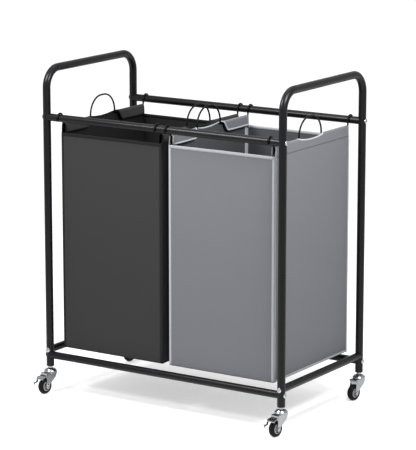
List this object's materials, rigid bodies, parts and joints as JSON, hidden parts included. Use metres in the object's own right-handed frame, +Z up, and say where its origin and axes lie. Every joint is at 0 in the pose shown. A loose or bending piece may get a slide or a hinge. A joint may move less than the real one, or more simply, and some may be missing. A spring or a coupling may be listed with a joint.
{
  "type": "laundry sorter on wheels",
  "caption": "Rolling laundry sorter: black tube frame with raised side handles, lift-out fabric bags on wire hangers, and swivel casters, the front ones braked.",
  "frame": {"origin": "on the floor, under the centre of the tube frame", "axes": "+X to the right along the long side, +Y to the back, +Z up; the casters' wheels touch z = 0"},
  "size_m": [0.7339, 0.4429, 0.85],
  "materials": {
    "black_powder_coat": "satin black powder coat on steel tube",
    "wire_black": "black coated spring wire",
    "fabric_black": "plain-weave black polyester",
    "fabric_gray": "plain-weave gray polyester with white bound seams",
    "zinc_steel": "bright zinc plate",
    "plain_steel": "plain machined steel",
    "caster_chrome": "bright chrome plate on pressed steel",
    "socket_plastic": "moulded black nylon",
    "tyre_rubber": "black rubber",
    "hub_plastic": "moulded gray plastic"
  },
  "bodies": {
    "frame": {"left_handle_frame": "black_powder_coat", "right_handle_frame": "black_powder_coat", "front_left_leg": "black_powder_coat", "front_right_leg": "black_powder_coat", "back_left_leg": "black_powder_coat", "back_right_leg": "black_powder_coat", "front_top_rail": "black_powder_coat", "back_top_rail": "black_powder_coat", "front_bottom_rail": "black_powder_coat", "back_bottom_rail": "black_powder_coat", "left_side_rail": "black_powder_coat", "right_side_rail": "black_powder_coat", "rail_nut_plugs": "plain_steel", "frame_bolts": "zinc_steel", "caster_sockets": "socket_plastic", "caster_balls": "plain_steel", "front_left_caster_stem": "caster_chrome", "front_left_raceway_cap": "caster_chrome", "front_right_caster_stem": "caster_chrome", "front_right_raceway_cap": "caster_chrome", "back_left_caster_stem": "caster_chrome", "back_left_raceway_cap": "caster_chrome", "back_right_caster_stem": "caster_chrome", "back_right_raceway_cap": "caster_chrome"},
    "front_left_swivel": {"front_left_fork": "caster_chrome", "front_left_axle": "caster_chrome", "front_left_brake_pin": "caster_chrome"},
    "front_left_wheel": {"front_left_tyre": "tyre_rubber", "front_left_hub": "hub_plastic"},
    "front_left_brake": {"front_left_brake_pedal": "caster_chrome"},
    "front_right_swivel": {"front_right_fork": "caster_chrome", "front_right_axle": "caster_chrome", "front_right_brake_pin": "caster_chrome"},
    "front_right_wheel": {"front_right_tyre": "tyre_rubber", "front_right_hub": "hub_plastic"},
    "front_right_brake": {"front_right_brake_pedal": "caster_chrome"},
    "back_left_swivel": {"back_left_fork": "caster_chrome", "back_left_axle": "caster_chrome"},
    "back_left_wheel": {"back_left_tyre": "tyre_rubber", "back_left_hub": "hub_plastic"},
    "back_right_swivel": {"back_right_fork": "caster_chrome", "back_right_axle": "caster_chrome"},
    "back_right_wheel": {"back_right_tyre": "tyre_rubber", "back_right_hub": "hub_plastic"},
    "black_bag_set": {"black_bag": "fabric_black", "black_bag_left_hanger": "wire_black", "black_bag_right_hanger": "wire_black"},
    "gray_bag_set": {"gray_bag": "fabric_gray", "gray_bag_left_hanger": "wire_black", "gray_bag_right_hanger": "wire_black"}
  },
  "joints": [
    {"name": "front_left_caster_swivel", "type": "hinge", "parent": "frame", "child": "front_left_swivel", "pos_m": [-0.348, -0.19, 0.06], "axis": [0, 0, 1], "continuous": true},
    {"name": "front_left_wheel_spin", "type": "hinge", "parent": "front_left_swivel", "child": "front_left_wheel", "pos_m": [-0.35092, -0.2108, 0.021], "axis": [0.9903, -0.1392, 0], "continuous": true},
    {"name": "front_left_brake_press", "type": "hinge", "parent": "front_left_swivel", "child": "front_left_brake", "pos_m": [-0.35127, -0.21327, 0.0465], "axis": [0.9903, -0.1392, 0], "range_deg": [0, 18]},
    {"name": "front_right_caster_swivel", "type": "hinge", "parent": "frame", "child": "front_right_swivel", "pos_m": [0.348, -0.19, 0.06], "axis": [0, 0, 1], "continuous": true},
    {"name": "front_right_wheel_spin", "type": "hinge", "parent": "front_right_swivel", "child": "front_right_wheel", "pos_m": [0.34508, -0.2108, 0.021], "axis": [0.9903, -0.1392, 0], "continuous": true},
    {"name": "front_right_brake_press", "type": "hinge", "parent": "front_right_swivel", "child": "front_right_brake", "pos_m": [0.34473, -0.21327, 0.0465], "axis": [0.9903, -0.1392, 0], "range_deg": [0, 18]},
    {"name": "back_left_caster_swivel", "type": "hinge", "parent": "frame", "child": "back_left_swivel", "pos_m": [-0.348, 0.19, 0.06], "axis": [0, 0, 1], "continuous": true},
    {"name": "back_left_wheel_spin", "type": "hinge", "parent": "back_left_swivel", "child": "back_left_wheel", "pos_m": [-0.35092, 0.1692, 0.021], "axis": [0.9903, -0.1392, 0], "continuous": true},
    {"name": "back_right_caster_swivel", "type": "hinge", "parent": "frame", "child": "back_right_swivel", "pos_m": [0.348, 0.19, 0.06], "axis": [0, 0, 1], "continuous": true},
    {"name": "back_right_wheel_spin", "type": "hinge", "parent": "back_right_swivel", "child": "back_right_wheel", "pos_m": [0.34508, 0.1692, 0.021], "axis": [0.9903, -0.1392, 0], "continuous": true},
    {"name": "black_bag_lift", "type": "slide", "parent": "frame", "child": "black_bag_set", "axis": [0, 0, 1], "range_m": [0, 0.62]},
    {"name": "gray_bag_lift", "type": "slide", "parent": "frame", "child": "gray_bag_set", "axis": [0, 0, 1], "range_m": [0, 0.62]}
  ]
}
